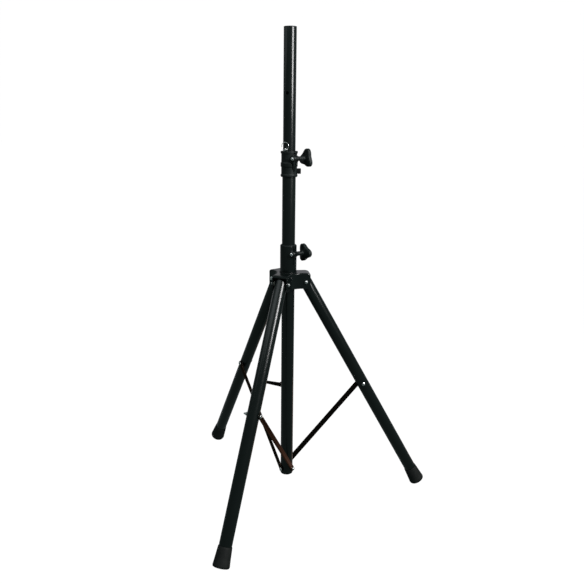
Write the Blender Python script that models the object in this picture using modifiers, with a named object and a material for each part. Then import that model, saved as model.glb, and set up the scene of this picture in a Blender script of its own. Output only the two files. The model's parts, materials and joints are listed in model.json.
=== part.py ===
"""Tripod stand for a loudspeaker: a telescopic pole on a folding three-legged base.

Metres, +Z up, standing on z = 0. The origin is the centre of the footprint, so the
mast's axis stands at y = MAST_Y. One leg points along -Y and the other two at 30 and
150 degrees. Every object is one physical piece (or one set of identical fasteners),
and every moving group hangs on an empty that lies on its joint's axis.
"""
import math

import bmesh
import bpy
from mathutils import Matrix, Vector

# ---------------------------------------------------------------- driving dimensions
MAST_Y = 0.1065                  # mast axis behind the centre of the footprint
LEG_AZIMUTHS = (270, 30, 150)    # degrees, seen from above
GAP = 0.0003                     # clearance between touching pieces

MAST_R = 0.0190                  # 38 mm lower tube
MAST_WALL = 0.0012
MAST_BOTTOM = 0.0625             # underside of the end plug
MAST_TOP = 1.0555
PLUG_RIM = 0.0022                # the tube's end above the plug's underside
PLUG_DEPTH = 0.0280

TAB_AZIMUTH = 200                # sheet tab on the mast
TAB_TIP = 0.0700
TAB_BOTTOM = 0.3520
TAB_HEIGHT = 0.0170
TAB_T = 0.0025

POLE_R = 0.0175                  # 35 mm upper tube, the size of a speaker's socket
POLE_WALL = 0.0014
POLE_BOTTOM = 0.4600
POLE_TOP = 1.3856
PIN_Z = 1.0656                   # the locking pin rests just over the collar
HOLE_PITCH = 0.1500
HOLE_R = 0.0045
HOLE_STEPS = range(-3, 2)        # holes below and above the one that the pin is in
CAP_RIM = 0.0020
CAP_DEPTH = 0.0200
GUIDE_RIM = 0.0030
GUIDE_DEPTH = 0.0250
PIN_R = 0.0038
PIN_FLANGE_R = 0.0043
PIN_NECK_R = 0.0034
PIN_FLANGE = 0.0180              # inner face of the flange, from the pole's axis
PIN_INNER_END = 0.0215
PIN_EYE = 0.0290                 # the pull ring's hole, from the pole's axis
PIN_END = 0.0322
PULL_RING_R = 0.0098
PULL_WIRE_R = 0.0011

LEG_R = 0.0180                   # 36 mm leg tube
LEG_WALL = 0.0012
LEG_ANGLE = math.radians(29.15)  # from the vertical
LEG_LENGTH = 0.7782              # pivot to the centre of the foot's sole
LEG_OVER = 0.0075                # tube beyond the pivot
PIVOT_RADIUS = 0.0502            # pivot from the mast's axis
PIVOT_Z = 0.6893
BRACE_PIN = 0.3763               # pivot to the brace's bolt, along the leg
BRACE_LOW_Z = 0.0780             # brace's lower bolt
LEG_PLUG_DEPTH = 0.0160
SPACER_R = 0.0070
SPACER_T = 0.0021
BRACE_WASHER_R = 0.0065

BOOT_H = 0.0540                  # rubber boot on a leg's end
BOOT_SOLE = 0.0060
BOOT_TOP_R = 0.0208
BOOT_R = 0.0235

BRACE_T = 0.0025                 # brace strip
BRACE_W = 0.0160
BRACE_LAT = MAST_R + GAP         # inner face of a strip, beside the mast and the leg

BOLT_R = 0.0030                  # M6 fasteners
BOLT_HOLE_R = 0.0034
HEAD_R = 0.0056
HEAD_H = 0.0040
NUT_R = 0.0058                   # across the corners
NUT_H = 0.0050
THREAD_OVER = 0.0022             # bolt end beyond its nut

ARM_HALF = 0.0235                # hub bracket: half the width of an arm
ARM_END = 0.0630
SKIRT_END = ARM_END - 0.0005
ARC_R = 0.0400                   # concave side between two arms
ARC_STEPS = 8
SHEET = 0.0026
SKIRT_FACE = ARM_HALF - 0.0004   # the skirts stand just inside the plate's edge
PLATE_TOP = 0.7150
DROOP_START = 0.0460            # the arms slope down from here to their ends
DROOP = 0.0050
DROOP_CUT = 0.0005              # the skirts end this far below the slope's upper face
SKIRT_BOTTOM = 0.6690

SLEEVE_OUT = 0.0240
SLEEVE_IN = 0.0219
SLEEVE_BOTTOM = 0.6790
SLEEVE_TOP = 0.7940
BUSH_OUT = SLEEVE_IN - GAP
BUSH_LIP = 0.0030                # bush above the sleeve's end
SLIT_DEPTH = 0.0340              # slit below the sleeve's clamp bolt
BUSH_IN = MAST_R + GAP

COLLAR_BOTTOM = 0.9900
COLLAR_TOP = 1.0610
COLLAR_R = 0.0222
RING_R = 0.0240
TOP_RING = 0.0060                # heights of the three rings
MID_RING_LOW = 0.0290            # from the collar's bottom
MID_RING_HIGH = 0.0390
LOW_RING = 0.0060
LOW_RING_EDGE = 0.0025
RING_STEP = 0.0015               # slope between a ring and the body

SET_SCREW_AZIMUTH = 23.4
SET_SCREW_Z = 1.0060
SET_SCREW_END = 0.0330
SET_SCREW_R = 0.0072
SOCKET_R = 0.0036
SOCKET_DEPTH = 0.0040

CLAMP_AZIMUTH = 330              # the clamps' lugs stand between two legs
CLAMP_RADIUS = 0.0290            # clamp bolt from the mast's axis
UPPER_CLAMP_Z = 1.0415
LOWER_CLAMP_Z = 0.7730
LUG_HALF = 0.0080
BOSS_R = 0.0075
SLIT = 0.0020
SLIT_REACH = 0.0500              # from the mast's axis to beyond the lug
WASHER_R = 0.0060
WASHER_T = 0.0015
STUD_END = 0.0150                # stud beyond the captive nut, from the bolt's middle
KNOB_START = 0.0103
KNOB_SHAFT_R = 0.0063
KNOB_LOBE_R = 0.0225
KNOB_LENGTH = 0.0335
KNOB_BORE = 0.0180
UPPER_KNOB_TURN = 15             # degrees about the bolt, a lobe straight up at 0
LOWER_KNOB_TURN = -30

ROUND = 32                       # sides of the large tubes
MEDIUM = 24                      # sides of the boots, plugs and bosses
SMALL = 12                       # sides of the small fasteners
LONG = 0.1200                    # a cutter that passes through everything
SHARP_ANGLE = 35                 # degrees between faces that keep their edge

BRACE_TOP_R = PIVOT_RADIUS + BRACE_PIN * math.sin(LEG_ANGLE)
BRACE_TOP_Z = PIVOT_Z - BRACE_PIN * math.cos(LEG_ANGLE)
BRACE_ANGLE = math.atan2(BRACE_TOP_R, BRACE_TOP_Z - BRACE_LOW_Z)
BRACE_LENGTH = math.hypot(BRACE_TOP_R, BRACE_TOP_Z - BRACE_LOW_Z)


# ---------------------------------------------------------------- scene and materials
def clear_scene():
    for obj in list(bpy.data.objects):
        bpy.data.objects.remove(obj, do_unlink=True)


def make_collection(name):
    collection = bpy.data.collections.new(name)
    bpy.context.scene.collection.children.link(collection)
    return collection


def make_material(name, colour, roughness, metallic):
    material = bpy.data.materials.new(name)
    material.use_nodes = True
    shader = material.node_tree.nodes["Principled BSDF"]
    shader.inputs["Base Color"].default_value = (*colour, 1.0)
    shader.inputs["Roughness"].default_value = roughness
    shader.inputs["Metallic"].default_value = metallic
    return material


clear_scene()
STAND = make_collection("speaker_tripod_stand")
CUTTERS = make_collection("cutters")
PAINT = make_material("black_paint", (0.012, 0.014, 0.014), 0.35, 0.0)
ZINC = make_material("zinc", (0.70, 0.70, 0.72), 0.30, 1.0)
STEEL = make_material("black_steel", (0.013, 0.013, 0.014), 0.40, 0.0)
PLASTIC = make_material("black_plastic", (0.015, 0.016, 0.016), 0.50, 0.0)
RUBBER = make_material("black_rubber", (0.010, 0.010, 0.010), 0.80, 0.0)
NYLON = make_material("white_nylon", (0.70, 0.69, 0.64), 0.55, 0.0)


# ---------------------------------------------------------------- placing
def make_empty(name, matrix, parent=None):
    empty = bpy.data.objects.new(name, None)
    empty.empty_display_size = 0.02
    STAND.objects.link(empty)
    empty.parent = parent
    empty.matrix_local = matrix
    return empty


def link_piece(name, mesh, material, parent, matrix=Matrix()):
    obj = bpy.data.objects.new(name, mesh)
    mesh.materials.clear()
    mesh.materials.append(material)
    if mesh.polygons:
        mesh.shade_smooth()
        mesh.set_sharp_from_angle(angle=math.radians(SHARP_ANGLE))
    STAND.objects.link(obj)
    obj.parent = parent
    obj.matrix_local = matrix
    return obj


def at(x, y, z):
    return Matrix.Translation((x, y, z))


def along_y(x, y, z):
    """A frame whose +Z runs along the parent's +Y."""
    return at(x, y, z) @ Matrix.Rotation(-math.pi / 2, 4, "X")


def along_minus_y(x, y, z):
    """A frame whose +Z runs along the parent's -Y."""
    return at(x, y, z) @ Matrix.Rotation(math.pi / 2, 4, "X")


# ---------------------------------------------------------------- shapes
def turned_mesh(name, profile, closed):
    """A profile of (radius, height) points, running down the outer side."""
    mesh = bpy.data.meshes.new(name)
    points = [(radius, 0.0, height) for radius, height in profile]
    edges = [(i, i + 1) for i in range(len(points) - 1)]
    if closed:
        edges.append((len(points) - 1, 0))
    mesh.from_pydata(points, edges, [])
    return mesh


def add_screw(obj, sides):
    screw = obj.modifiers.new("turn", "SCREW")
    screw.axis = "Z"
    screw.angle = 2 * math.pi
    screw.steps = sides
    screw.render_steps = sides
    screw.use_merge_vertices = True
    screw.merge_threshold = 0.00001
    screw.use_smooth_shade = True


def turned(name, profile, material, parent, matrix=Matrix(), sides=ROUND, closed=False):
    mesh = turned_mesh(name, profile, closed)
    obj = link_piece(name, mesh, material, parent, matrix)
    add_screw(obj, sides)
    return obj


def tube(name, outer, inner, bottom, top, material, parent, matrix=Matrix(), sides=ROUND):
    profile = [(outer, top), (outer, bottom), (inner, bottom), (inner, top)]
    return turned(name, profile, material, parent, matrix, sides, closed=True)


def baked_mesh(obj, name):
    """The evaluated mesh of an object, which is then removed."""
    bpy.context.view_layer.update()
    graph = bpy.context.evaluated_depsgraph_get()
    mesh = bpy.data.meshes.new_from_object(obj.evaluated_get(graph))
    mesh.name = name
    bpy.data.objects.remove(obj, do_unlink=True)
    work = bmesh.new()
    work.from_mesh(mesh)
    bmesh.ops.remove_doubles(work, verts=work.verts, dist=0.00001)
    work.to_mesh(mesh)
    work.free()
    return mesh


def flat_mesh(name, outlines, thickness):
    """A sheet in the local XY plane, centred on it: an outline, then its holes."""
    curve = bpy.data.curves.new(name, "CURVE")
    curve.dimensions = "2D"
    curve.fill_mode = "BOTH"
    curve.extrude = thickness / 2
    for outline in outlines:
        spline = curve.splines.new("POLY")
        spline.points.add(len(outline) - 1)
        for point, (x, y) in zip(spline.points, outline):
            point.co = (x, y, 0.0, 1.0)
        spline.use_cyclic_u = True
    obj = bpy.data.objects.new(name, curve)
    STAND.objects.link(obj)
    return baked_mesh(obj, name)


def rod_mesh(name, radius, length, sides=SMALL):
    """A rod from z = 0 up to its length."""
    work = bmesh.new()
    bmesh.ops.create_cone(work, cap_ends=True, segments=sides, radius1=radius,
                          radius2=radius, depth=length,
                          matrix=Matrix.Translation((0, 0, length / 2)))
    mesh = bpy.data.meshes.new(name)
    work.to_mesh(mesh)
    work.free()
    return mesh


def box_mesh(name, low, high):
    work = bmesh.new()
    size = [b - a for a, b in zip(low, high)]
    middle = [(a + b) / 2 for a, b in zip(low, high)]
    bmesh.ops.create_cube(work, size=1.0,
                          matrix=Matrix.Translation(middle) @ Matrix.Diagonal((*size, 1.0)))
    mesh = bpy.data.meshes.new(name)
    work.to_mesh(mesh)
    work.free()
    return mesh


def combine(target, mesh, matrix, operation, parent=None):
    """Cut a mesh from the target, or join it on. The matrix is in the parent's frame."""
    tool = bpy.data.objects.new(target.name + "_tool", mesh)
    CUTTERS.objects.link(tool)
    tool.parent = parent if parent is not None else target.parent
    tool.matrix_local = matrix
    tool.hide_render = True
    tool.display_type = "WIRE"
    boolean = target.modifiers.new(operation.lower(), "BOOLEAN")
    boolean.operation = operation
    boolean.solver = "EXACT"
    boolean.object = tool
    return tool


def cut(target, mesh, matrix, parent=None):
    combine(target, mesh, matrix, "DIFFERENCE", parent)


def join(target, mesh, matrix, parent=None):
    combine(target, mesh, matrix, "UNION", parent)


def arc_points(centre, radius, start, end, steps):
    """Points on an arc, angles in degrees, both ends included."""
    points = []
    for i in range(steps + 1):
        angle = math.radians(start + (end - start) * i / steps)
        points.append((centre[0] + radius * math.cos(angle),
                       centre[1] + radius * math.sin(angle)))
    return points


def circle_points(centre, radius, steps):
    return arc_points(centre, radius, 0, 360, steps)[:-1]


# ---------------------------------------------------------------- fasteners
def bolt_profile(length):
    """A round-headed bolt: the head's underside at z = 0, the shank below it."""
    dome = [(0.0, HEAD_H), (HEAD_R * 0.62, HEAD_H), (HEAD_R * 0.92, HEAD_H * 0.72),
            (HEAD_R, HEAD_H * 0.3), (HEAD_R, 0.0)]
    return dome + [(BOLT_R, 0.0), (BOLT_R, -length), (0.0, -length)]


def bolt(name, length, parent, matrix):
    return turned(name, bolt_profile(length), ZINC, parent, matrix, SMALL)


def nut_mesh(name):
    """A hexagon nut standing on z = 0."""
    return flat_mesh(name, [circle_points((0, 0), NUT_R, 6),
                            circle_points((0, 0), BOLT_R + GAP, SMALL)], NUT_H)


def washer_mesh(name, outer, inner, thickness):
    return flat_mesh(name, [circle_points((0, 0), outer, SMALL + 4),
                            circle_points((0, 0), inner, SMALL)], thickness)


# ---------------------------------------------------------------- mast
def make_mast(mast):
    tube("mast_tube", MAST_R, MAST_R - MAST_WALL, MAST_BOTTOM + PLUG_RIM, MAST_TOP, PAINT, mast)
    plug_r = MAST_R - MAST_WALL - GAP
    bottom, top = MAST_BOTTOM, MAST_BOTTOM + PLUG_DEPTH
    rim = bottom + PLUG_RIM - GAP
    turned("mast_plug", [(0, top), (plug_r - 0.001, top), (plug_r, top - 0.002), (plug_r, rim),
                         (MAST_R, rim), (MAST_R, bottom + 0.001), (MAST_R - 0.001, bottom),
                         (0, bottom)], PLASTIC, mast, sides=MEDIUM)


def make_mast_tab(mast):
    """A tapered sheet tab standing out from the mast's side."""
    root, tip, low, high = MAST_R + GAP, TAB_TIP, TAB_BOTTOM, TAB_BOTTOM + TAB_HEIGHT
    outline = [(root, low), (root, high), (root + 0.0030, high - 0.0030),
               (tip - 0.0030, high + 0.0025), (tip, high), (tip, high - 0.0040),
               (tip - 0.0030, high - 0.0065)]
    mesh = flat_mesh("mast_tab", [outline], TAB_T)
    turn = Matrix.Rotation(math.radians(TAB_AZIMUTH), 4, "Z")
    matrix = turn @ Matrix.Rotation(math.pi / 2, 4, "X")
    link_piece("mast_tab", mesh, PAINT, mast, matrix)


def lug_mesh(name, inner, top, bottom, foot):
    """The block that carries a clamp's boss, with a web sloping down to the wall."""
    outer = CLAMP_RADIUS + 0.0020
    outline = [(inner, top), (outer, top), (outer, bottom), (inner + 0.0020, foot), (inner, foot)]
    return flat_mesh(name, [outline], 2 * LUG_HALF)


def add_clamp_lug(target, clamp, bolt_z, bore_r, wall, top, bottom, foot, slit_low, slit_high):
    """Lug, boss, slit and bolt hole of a split clamp on a body whose bore is bore_r.

    Heights are in the mast's frame, and wall is the radius where the lug starts.
    """
    turn = Matrix.Rotation(math.radians(CLAMP_AZIMUTH), 4, "Z")
    upright = turn @ Matrix.Rotation(math.pi / 2, 4, "X")
    join(target, lug_mesh(target.name + "_lug", wall, top, bottom, foot), upright)
    boss = rod_mesh(target.name + "_boss", BOSS_R, 2 * LUG_HALF, MEDIUM)
    join(target, boss, at(0, 0, -LUG_HALF), clamp)
    bore = rod_mesh(target.name + "_bore", bore_r, LONG, ROUND)
    cut(target, bore, at(0, 0, bolt_z - LONG / 2))
    low, high = (0, -SLIT / 2, slit_low), (SLIT_REACH, SLIT / 2, slit_high)
    cut(target, box_mesh(target.name + "_slit", low, high), turn)
    hole = rod_mesh(target.name + "_hole", BOLT_HOLE_R, 5 * LUG_HALF)
    cut(target, hole, at(0, 0, -2.5 * LUG_HALF), clamp)


def make_collar(mast, clamp):
    """Plastic casting over the mast's end, with three rings and a split clamp."""
    low, high, body, ring = COLLAR_BOTTOM, COLLAR_TOP, COLLAR_R, RING_R
    lip, bore, shoulder = POLE_R + GAP, MAST_R + GAP, MAST_TOP + GAP
    profile = [(ring - 0.0008, high), (ring, high - 0.0008), (ring, high - TOP_RING),
               (body, high - TOP_RING - RING_STEP), (body, low + MID_RING_HIGH + RING_STEP),
               (ring, low + MID_RING_HIGH), (ring, low + MID_RING_LOW),
               (body, low + MID_RING_LOW - RING_STEP), (body, low + LOW_RING + RING_STEP),
               (ring, low + LOW_RING), (ring, low + LOW_RING_EDGE), (body, low), (bore, low),
               (bore, shoulder), (lip, shoulder), (lip, high)]
    collar = turned("mast_collar", profile, PLASTIC, mast, closed=True)
    add_clamp_lug(collar, clamp, COLLAR_BOTTOM, bore, body - 0.0012, UPPER_CLAMP_Z + 0.0080,
                  UPPER_CLAMP_Z - 0.0075, SET_SCREW_Z, low - 0.01, high + 0.02)
    return collar


def make_set_screw(mast, collar):
    """Cap screw that holds the collar on the mast. Its axis is level and points outwards."""
    inner, face, end = MAST_R + GAP, RING_R + GAP, SET_SCREW_END
    turn = Matrix.Rotation(math.radians(SET_SCREW_AZIMUTH), 4, "Z")
    matrix = at(0, 0, SET_SCREW_Z) @ turn @ Matrix.Rotation(math.pi / 2, 4, "Y")
    profile = [(0, end - SOCKET_DEPTH), (SOCKET_R - 0.0004, end - SOCKET_DEPTH), (SOCKET_R, end),
               (SET_SCREW_R - 0.0006, end), (SET_SCREW_R, end - 0.0008), (SET_SCREW_R, face),
               (BOLT_R, face), (BOLT_R, inner), (0, inner)]
    turned("collar_set_screw", profile, STEEL, mast, matrix, sides=20)
    cut(collar, rod_mesh("set_screw_hole", BOLT_HOLE_R, 0.04), matrix)


# ---------------------------------------------------------------- pole
def make_pole(pole):
    inner = POLE_R - POLE_WALL
    low, high = POLE_BOTTOM + GUIDE_RIM, POLE_TOP - CAP_RIM
    obj = tube("upper_tube", POLE_R, inner, low, high, PAINT, pole)
    for step in HOLE_STEPS:
        drill = rod_mesh("upper_tube_drill", HOLE_R, LONG / 2)
        cut(obj, drill, along_y(0, -LONG / 4, PIN_Z + step * HOLE_PITCH))
    plug = inner - GAP
    turned("upper_tube_cap", [(0, POLE_TOP), (POLE_R - 0.0010, POLE_TOP),
                              (POLE_R, POLE_TOP - 0.0008), (POLE_R, high + GAP),
                              (plug, high + GAP), (plug, high - CAP_DEPTH),
                              (0, high - CAP_DEPTH)], PLASTIC, pole)
    turned("upper_tube_guide", [(0, POLE_BOTTOM + GUIDE_DEPTH), (plug, POLE_BOTTOM + GUIDE_DEPTH),
                                (plug, low - GAP), (POLE_R, low - GAP), (POLE_R, POLE_BOTTOM),
                                (0, POLE_BOTTOM)], PLASTIC, pole)


def make_pin(pin):
    """Locking pin through the pole, with its pull ring. +Z of its frame points outwards."""
    flange, end = PIN_FLANGE + 0.0026, PIN_INNER_END
    profile = [(0, PIN_END), (0.0030, PIN_END), (PIN_NECK_R, PIN_END - 0.0008),
               (PIN_NECK_R, flange + 0.0006), (PIN_FLANGE_R, flange), (PIN_FLANGE_R, PIN_FLANGE),
               (PIN_R, PIN_FLANGE), (PIN_R, 0.0020 - end), (PIN_R - 0.0010, -end), (0, -end)]
    obj = turned("locking_pin", profile, ZINC, pin, sides=16)
    across = at(0, 0, PIN_EYE) @ Matrix.Rotation(math.pi / 2, 4, "Y")
    cut(obj, rod_mesh("locking_pin_eye", PULL_WIRE_R + 0.0005, 0.02), across @ at(0, 0, -0.01))
    bpy.ops.mesh.primitive_torus_add(major_radius=PULL_RING_R, minor_radius=PULL_WIRE_R,
                                     major_segments=24, minor_segments=6)
    made = bpy.context.object
    mesh = made.data
    bpy.data.objects.remove(made, do_unlink=True)
    mesh.name = "pin_ring"
    link_piece("pin_ring", mesh, ZINC, pin, at(0, PULL_RING_R, PIN_EYE))


# ---------------------------------------------------------------- clamps
def knob_mesh(name):
    """A round shaft that flares into three lobes; +Z runs away from the clamp.

    Each station is (height, mean radius, lobe depth as a share of the radius).
    """
    length, shaft, lobe = KNOB_LENGTH, KNOB_SHAFT_R, KNOB_LOBE_R
    stations = [(0.0, shaft, 0.0), (length - 0.0155, shaft, 0.0), (length - 0.0120, 0.0100, 0.05),
                (length - 0.0098, lobe * 0.96, 0.20), (length - 0.0080, lobe, 0.21),
                (length - 0.0016, lobe, 0.21), (length, lobe * 0.93, 0.20)]
    sides = 30
    work = bmesh.new()
    rings = []
    for height, radius, depth in stations:
        ring = []
        for i in range(sides):
            angle = 2 * math.pi * i / sides
            reach = radius * (1 + depth * math.cos(3 * angle))
            ring.append(work.verts.new((reach * math.cos(angle), reach * math.sin(angle), height)))
        rings.append(ring)
    for low, high in zip(rings, rings[1:]):
        for i in range(sides):
            j = (i + 1) % sides
            work.faces.new((low[i], low[j], high[j], high[i]))
    work.faces.new(list(reversed(rings[0])))
    work.faces.new(rings[-1])
    mesh = bpy.data.meshes.new(name)
    work.to_mesh(mesh)
    work.free()
    return mesh


def make_clamp(prefix, clamp, knob_turn):
    """Captive nut, stud, washer and knob on one tangential bolt axis (+Z of the frame)."""
    nut = nut_mesh(prefix + "_clamp_nut")
    link_piece(prefix + "_clamp_nut", nut, ZINC, clamp, at(0, 0, -LUG_HALF - GAP - NUT_H / 2))
    washer = washer_mesh(prefix + "_clamp_washer", WASHER_R, BOLT_R + GAP, WASHER_T)
    middle = LUG_HALF + GAP + WASHER_T / 2
    link_piece(prefix + "_clamp_washer", washer, STEEL, clamp, at(0, 0, middle))
    rotation = Matrix.Rotation(math.radians(knob_turn), 4, "Z")
    turn = make_empty(prefix + "_knob_axis", rotation, clamp)
    knob = knob_mesh(prefix + "_knob")
    obj = link_piece(prefix + "_knob", knob, PLASTIC, turn, at(0, 0, KNOB_START))
    depth = KNOB_START + KNOB_BORE
    cut(obj, rod_mesh(prefix + "_knob_socket", BOLT_R + GAP, LONG), at(0, 0, depth - LONG))
    stud = [(0, depth - GAP), (BOLT_R, depth - GAP), (BOLT_R, 0.0012 - STUD_END),
            (BOLT_R - 0.0008, -STUD_END), (0, -STUD_END)]
    turned(prefix + "_clamp_stud", stud, ZINC, turn, sides=SMALL)


# ---------------------------------------------------------------- hub
def make_hub_sleeve(hub, clamp):
    tube("hub_sleeve", SLEEVE_OUT, SLEEVE_IN, SLEEVE_BOTTOM, SLEEVE_TOP, PAINT, hub)
    sleeve = bpy.data.objects["hub_sleeve"]
    turn = Matrix.Rotation(math.radians(CLAMP_AZIMUTH), 4, "Z")
    mid, reach, slit_low = LOWER_CLAMP_Z, BOSS_R + 0.0005, LOWER_CLAMP_Z - SLIT_DEPTH
    add_clamp_lug(sleeve, clamp, mid, SLEEVE_IN, SLEEVE_IN + 0.0006, mid + reach, mid - reach,
                  mid - reach - 0.0040, slit_low, SLEEVE_TOP + 0.01)
    low, high, lip = SLEEVE_BOTTOM, SLEEVE_TOP + BUSH_LIP, SLEEVE_OUT - 0.0004
    profile = [(lip - 0.0011, high), (lip, high - 0.0013), (lip, SLEEVE_TOP + GAP),
               (BUSH_OUT, SLEEVE_TOP + GAP), (BUSH_OUT, low), (BUSH_IN, low), (BUSH_IN, high)]
    bush = turned("hub_bush", profile, PLASTIC, hub, closed=True)
    slit = box_mesh("hub_bush_slit", (0, -SLIT / 2, slit_low), (SLIT_REACH, SLIT / 2, high + 0.01))
    cut(bush, slit, turn)


def skirt_outline(outer, inner):
    """Plan of one skirt: along an arm, round the concave arc and out along the next arm.

    The bisector of the two arms is the local +X, and outer and inner are the faces'
    distances from each arm's centre line. The arc keeps one centre for both faces.
    """
    half = math.radians(60)
    centre = ((ARM_HALF + ARC_R) / math.sin(half), 0.0)

    def face(lateral):
        radius = ARC_R + ARM_HALF - lateral
        first = (SKIRT_END * math.cos(half) + lateral * math.sin(half),
                 -SKIRT_END * math.sin(half) + lateral * math.cos(half))
        arc = arc_points(centre, radius, 210, 150, ARC_STEPS)
        last = (first[0], -first[1])
        return [first] + arc + [last]

    return face(outer) + list(reversed(face(inner)))


def arm_corner(azimuth, side):
    """Outer corner of the arm at this azimuth, on its left (1) or right (-1) side."""
    along = Vector((math.cos(azimuth), math.sin(azimuth)))
    across = Vector((-math.sin(azimuth), math.cos(azimuth)))
    return tuple(along * ARM_END + across * side * ARM_HALF)


def plate_outline():
    """The plate's plan: three arms with square ends and concave sides between them."""
    half = math.radians(60)
    centre_r = (ARM_HALF + ARC_R) / math.sin(half)
    points = []
    for step in range(3):
        azimuth = CLAMP_AZIMUTH + 120 * step
        turn = math.radians(azimuth)
        centre = (centre_r * math.cos(turn), centre_r * math.sin(turn))
        points.append(arm_corner(turn - half, 1))
        points.extend(arc_points(centre, ARC_R, azimuth + 210, azimuth + 150, ARC_STEPS))
        points.append(arm_corner(turn + half, -1))
    return points


def make_hub_bracket(hub):
    """Pressed bracket: a plate with three skirts that carry the legs' pivot bolts."""
    inner = ARM_HALF - SHEET
    hole = circle_points((0, 0), SLEEVE_OUT + GAP, ROUND)
    plate = flat_mesh("hub_bracket", [plate_outline(), hole], SHEET)
    bracket = link_piece("hub_bracket", plate, PAINT, hub, at(0, 0, PLATE_TOP - SHEET / 2))
    height = PLATE_TOP - SHEET / 2 - SKIRT_BOTTOM
    for step in range(3):
        skirt = flat_mesh("hub_skirt", [skirt_outline(SKIRT_FACE, inner)], height)
        turn = Matrix.Rotation(math.radians(CLAMP_AZIMUTH + 120 * step), 4, "Z")
        join(bracket, skirt, at(0, 0, SKIRT_BOTTOM + height / 2) @ turn)
    slope = math.atan2(DROOP, ARM_END - DROOP_START)
    length = (ARM_END - DROOP_START) / math.cos(slope)
    for azimuth in LEG_AZIMUTHS:
        turn = Matrix.Rotation(math.radians(azimuth), 4, "Z")
        tilt = turn @ at(DROOP_START, 0, PLATE_TOP) @ Matrix.Rotation(slope, 4, "Y")
        above = box_mesh("hub_above", (0, -LONG / 2, -DROOP_CUT), (LONG / 2, LONG / 2, LONG / 2))
        cut(bracket, above, tilt)
        side = (ARM_HALF + SKIRT_FACE) / 2
        sheet = box_mesh("hub_slope", (-SHEET / 2, -side, -SHEET), (length, side, 0))
        join(bracket, sheet, tilt)
        drill = rod_mesh("hub_drill", BOLT_HOLE_R, LONG / 2)
        cut(bracket, drill, turn @ along_y(PIVOT_RADIUS, -LONG / 4, PIVOT_Z))
    seat = SKIRT_FACE + GAP
    for number, azimuth in enumerate(LEG_AZIMUTHS, start=1):
        turn = Matrix.Rotation(math.radians(azimuth), 4, "Z")
        length = 2 * seat + NUT_H + THREAD_OVER
        bolt(f"pivot_bolt_{number}", length, hub, turn @ along_y(PIVOT_RADIUS, seat, PIVOT_Z))
        link_piece(f"pivot_nut_{number}", nut_mesh(f"pivot_nut_{number}"), ZINC, hub,
                   turn @ along_minus_y(PIVOT_RADIUS, -seat - NUT_H / 2, PIVOT_Z))


# ---------------------------------------------------------------- legs and braces
def make_foot(number, leg, mast):
    """Rubber boot over the leg's end, with a small flat moulded where it meets the floor."""
    sole, top = -LEG_LENGTH, -LEG_LENGTH + BOOT_H
    bore, rim = LEG_R + GAP, BOOT_TOP_R
    profile = [(0.0, sole + BOOT_SOLE), (bore, sole + BOOT_SOLE), (bore, top),
               (rim - 0.0008, top), (rim, top - 0.0010), (rim, top - 0.0060),
               (rim - 0.0006, top - 0.0070), (rim + 0.0006, top - 0.0220),
               (BOOT_R - 0.0009, sole + 0.0150), (BOOT_R, sole + 0.0040),
               (BOOT_R - 0.0009, sole + 0.0012), (BOOT_R - 0.0030, sole), (0.0, sole)]
    name = f"foot_{number}"
    foot = turned(name, profile, RUBBER, leg, sides=MEDIUM)
    floor = box_mesh(name + "_floor", (-LEG_LENGTH, -LEG_LENGTH, -BOOT_H),
                     (LEG_LENGTH, LEG_LENGTH, 0.0))
    cut(foot, floor, Matrix(), mast)


def make_leg(number, hub, mast):
    azimuth = math.radians(LEG_AZIMUTHS[number - 1])
    turn = Matrix.Rotation(azimuth, 4, "Z")
    lean = Matrix.Rotation(-LEG_ANGLE, 4, "Y")
    leg = make_empty(f"leg_{number}_pivot", turn @ at(PIVOT_RADIUS, 0, PIVOT_Z) @ lean, hub)
    name = f"leg_{number}"
    low = -LEG_LENGTH + BOOT_SOLE + GAP
    obj = tube(name, LEG_R, LEG_R - LEG_WALL, low, LEG_OVER, PAINT, leg)
    for height in (0.0, -BRACE_PIN):
        drill = rod_mesh(name + "_drill", BOLT_HOLE_R, LONG / 2)
        cut(obj, drill, along_y(0, -LONG / 4, height))
    make_foot(number, leg, mast)

    plug_r = LEG_R - LEG_WALL - GAP
    plug = turned(f"leg_plug_{number}",
                  [(0, LEG_OVER - GAP), (plug_r, LEG_OVER - GAP), (plug_r, -LEG_PLUG_DEPTH),
                   (0, -LEG_PLUG_DEPTH)], PLASTIC, leg, sides=MEDIUM)
    cut(plug, rod_mesh("leg_plug_drill", BOLT_HOLE_R, LONG / 2), along_y(0, -LONG / 4, 0))
    middle = (LEG_R + ARM_HALF - SHEET) / 2
    for side, place in (("left", middle), ("right", -middle)):
        spacer = f"leg_spacer_{side}_{number}"
        mesh = washer_mesh(spacer, SPACER_R, BOLT_R + GAP, SPACER_T)
        link_piece(spacer, mesh, NYLON, leg, along_y(0, place, 0))

    seat = BRACE_LAT + BRACE_T + GAP
    length = seat + LEG_R + NUT_H + THREAD_OVER
    bolt(f"leg_bolt_{number}", length, leg, along_y(0, seat, -BRACE_PIN))
    link_piece(f"leg_nut_{number}", nut_mesh(f"leg_nut_{number}"), ZINC, leg,
               along_minus_y(0, -LEG_R - GAP - NUT_H / 2, -BRACE_PIN))
    make_brace(number, leg, seat)


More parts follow.
